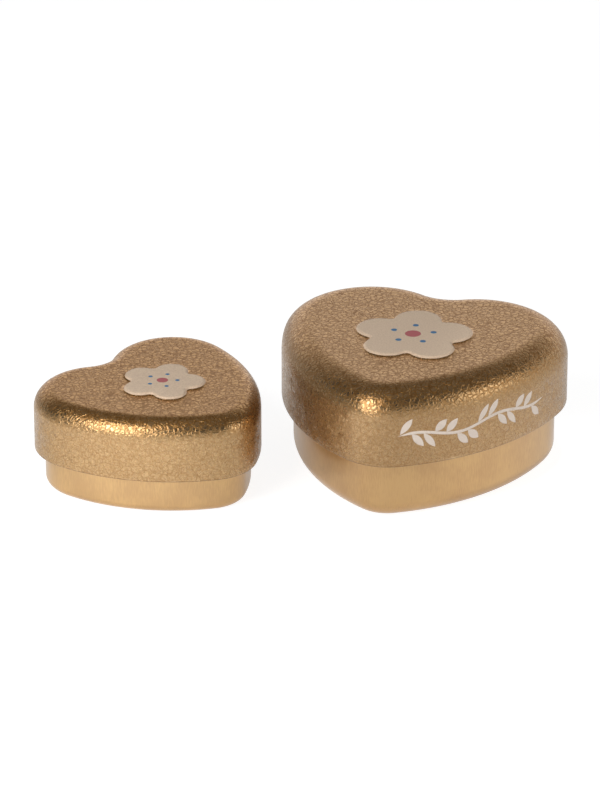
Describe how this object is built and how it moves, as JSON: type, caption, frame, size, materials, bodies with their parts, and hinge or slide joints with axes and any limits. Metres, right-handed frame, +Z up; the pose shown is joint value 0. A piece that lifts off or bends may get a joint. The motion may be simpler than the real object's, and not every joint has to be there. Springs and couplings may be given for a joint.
{
  "type": "heart-shaped tin box set",
  "caption": "Heart-shaped slip-lid keepsake tins in a large and a small size, gold lacquered, crackle-textured lids with a raised emblem, satin bases with a rolled rim.",
  "frame": {"origin": "on the table under the middle of the large tin's outline", "axes": "+Z up; the large heart's tip points to -Y and its notch to +Y; the small tin stands towards -X"},
  "size_m": [0.1283, 0.086, 0.0369],
  "materials": {
    "lid_gold": "crackle-textured gold lacquer on tinplate, satin, with an off-white enamelled emblem",
    "base_gold": "smooth satin gold lacquer on tinplate"
  },
  "bodies": {
    "large_base": {"large_base": "base_gold"},
    "large_lid": {"large_lid": "lid_gold"},
    "small_base": {"small_base": "base_gold"},
    "small_lid": {"small_lid": "lid_gold"}
  },
  "joints": [
    {"name": "large_lid_lift", "type": "slide", "parent": "large_base", "child": "large_lid", "axis": [0, 0, 1], "range_m": [0, 0.04]},
    {"name": "small_tin_move", "type": "slide", "parent": "large_base", "child": "small_base", "axis": [-1, 0, 0], "range_m": [0, 0.04]},
    {"name": "small_lid_lift", "type": "slide", "parent": "small_base", "child": "small_lid", "axis": [0, 0, 1], "range_m": [0, 0.03]}
  ]
}
